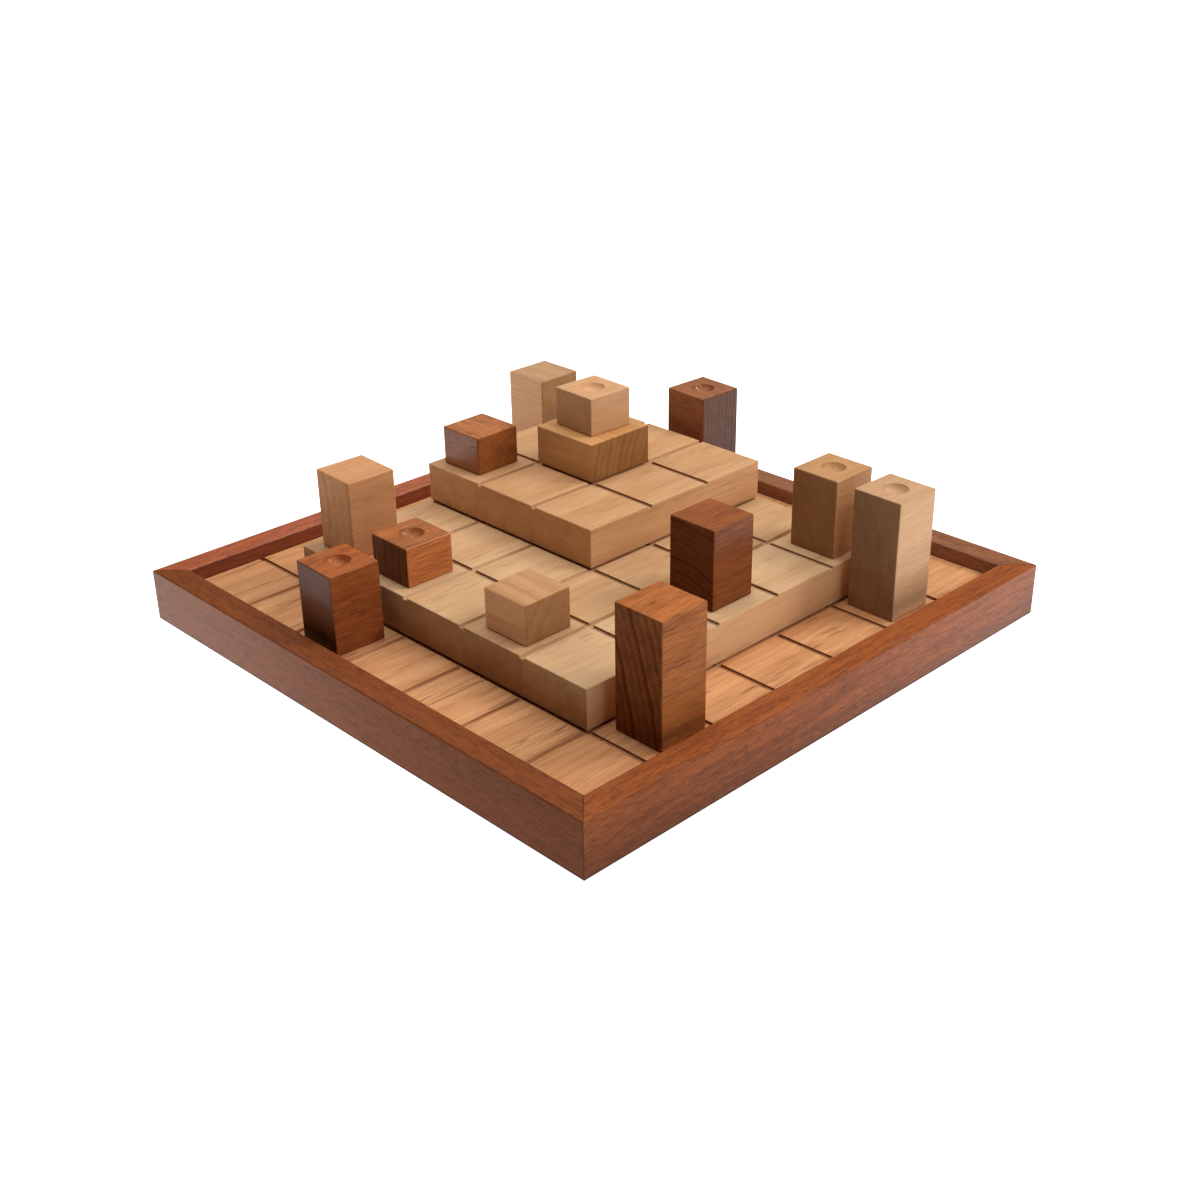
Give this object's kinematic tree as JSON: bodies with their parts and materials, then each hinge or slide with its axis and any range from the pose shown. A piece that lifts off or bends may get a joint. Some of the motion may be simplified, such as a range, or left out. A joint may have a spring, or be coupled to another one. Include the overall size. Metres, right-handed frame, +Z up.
{
  "type": "wooden strategy board game",
  "caption": "Stepped square wooden game board, saw-kerfed into cells inside a mitred hardwood frame, with loose square playing pieces in light and dark wood, plain or dimpled.",
  "frame": {"origin": "middle of the board's underside, on the surface it stands on", "axes": "+Z up, square to the board; +X out of the right rail, -Y out of the front rail; the upper tier sits towards -X and +Y"},
  "size_m": [0.2926, 0.2926, 0.0953],
  "materials": {
    "frame_hardwood": "oiled, satin, reddish brown with open grain along each rail",
    "base_wood": "oiled, satin, tan with brown grain flecks",
    "tier_wood": "oiled, satin, pale tan with fine straight grain",
    "top_block_wood": "oiled, satin, tan with straight grain",
    "light_piece_wood": "oiled, satin, pale cream to tan",
    "dark_piece_wood": "oiled, satin, red brown to dark brown"
  },
  "bodies": {
    "board": {"front_rail": "frame_hardwood", "right_rail": "frame_hardwood", "back_rail": "frame_hardwood", "left_rail": "frame_hardwood", "base_board": "base_wood", "lower_tier": "tier_wood", "upper_tier": "tier_wood", "top_block": "top_block_wood"},
    "light_tall_plain": {"light_tall_plain": "light_piece_wood"},
    "light_tall_dimpled": {"light_tall_dimpled": "light_piece_wood"},
    "light_medium_plain": {"light_medium_plain": "light_piece_wood"},
    "light_medium_dimpled": {"light_medium_dimpled": "light_piece_wood"},
    "light_short_plain": {"light_short_plain": "light_piece_wood"},
    "light_short_dimpled": {"light_short_dimpled": "light_piece_wood"},
    "dark_tall_plain": {"dark_tall_plain": "dark_piece_wood"},
    "dark_tall_dimpled": {"dark_tall_dimpled": "dark_piece_wood"},
    "dark_medium_plain": {"dark_medium_plain": "dark_piece_wood"},
    "dark_medium_dimpled": {"dark_medium_dimpled": "dark_piece_wood"},
    "dark_short_plain": {"dark_short_plain": "dark_piece_wood"},
    "dark_short_dimpled": {"dark_short_dimpled": "dark_piece_wood"}
  },
  "joints": [
    {"name": "lift_light_tall_plain", "type": "slide", "parent": "board", "child": "light_tall_plain", "axis": [0, 0, 1], "range_m": [0, 0.1]},
    {"name": "lift_light_tall_dimpled", "type": "slide", "parent": "board", "child": "light_tall_dimpled", "axis": [0, 0, 1], "range_m": [0, 0.1]},
    {"name": "lift_light_medium_plain", "type": "slide", "parent": "board", "child": "light_medium_plain", "axis": [0, 0, 1], "range_m": [0, 0.1]},
    {"name": "lift_light_medium_dimpled", "type": "slide", "parent": "board", "child": "light_medium_dimpled", "axis": [0, 0, 1], "range_m": [0, 0.1]},
    {"name": "lift_light_short_plain", "type": "slide", "parent": "board", "child": "light_short_plain", "axis": [0, 0, 1], "range_m": [0, 0.1]},
    {"name": "lift_light_short_dimpled", "type": "slide", "parent": "board", "child": "light_short_dimpled", "axis": [0, 0, 1], "range_m": [0, 0.1]},
    {"name": "lift_dark_tall_plain", "type": "slide", "parent": "board", "child": "dark_tall_plain", "axis": [0, 0, 1], "range_m": [0, 0.1]},
    {"name": "lift_dark_tall_dimpled", "type": "slide", "parent": "board", "child": "dark_tall_dimpled", "axis": [0, 0, 1], "range_m": [0, 0.1]},
    {"name": "lift_dark_medium_plain", "type": "slide", "parent": "board", "child": "dark_medium_plain", "axis": [0, 0, 1], "range_m": [0, 0.1]},
    {"name": "lift_dark_medium_dimpled", "type": "slide", "parent": "board", "child": "dark_medium_dimpled", "axis": [0, 0, 1], "range_m": [0, 0.1]},
    {"name": "lift_dark_short_plain", "type": "slide", "parent": "board", "child": "dark_short_plain", "axis": [0, 0, 1], "range_m": [0, 0.1]},
    {"name": "lift_dark_short_dimpled", "type": "slide", "parent": "board", "child": "dark_short_dimpled", "axis": [0, 0, 1], "range_m": [0, 0.1]}
  ]
}
